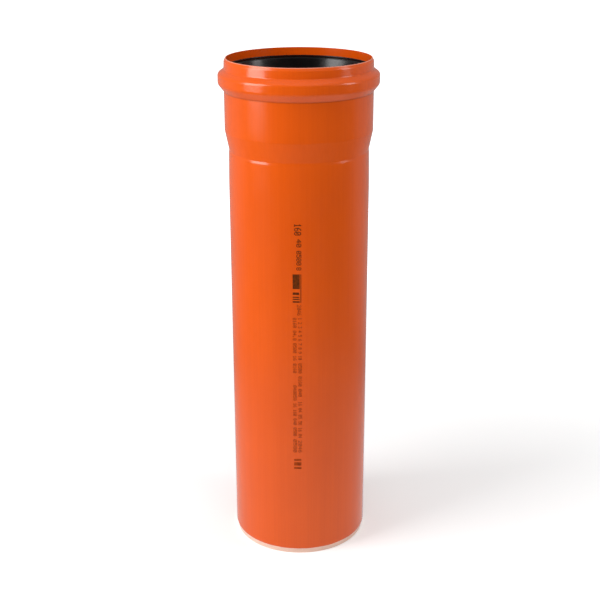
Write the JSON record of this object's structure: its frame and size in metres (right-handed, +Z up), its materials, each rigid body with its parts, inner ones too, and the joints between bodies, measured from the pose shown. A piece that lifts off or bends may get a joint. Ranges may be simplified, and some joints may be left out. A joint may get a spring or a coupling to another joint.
{
  "type": "pvc sewer pipe",
  "caption": "Straight orange-brown sewer pipe with a chamfered spigot end and a bulged ring socket that holds a black rubber lip seal.",
  "frame": {"origin": "centre of the spigot's end face, on which the pipe stands", "axes": "+Z runs up the pipe's axis from the spigot end to the socket's mouth; the shape is the same all round it"},
  "size_m": [0.1802, 0.1802, 0.584],
  "materials": {
    "pipe": "satin orange-brown unplasticised PVC, with a pale foamed core at the cut ends",
    "seal": "satin black sealing rubber"
  },
  "bodies": {
    "root": {"pipe": "pipe", "seal": "seal"}
  },
  "joints": []
}
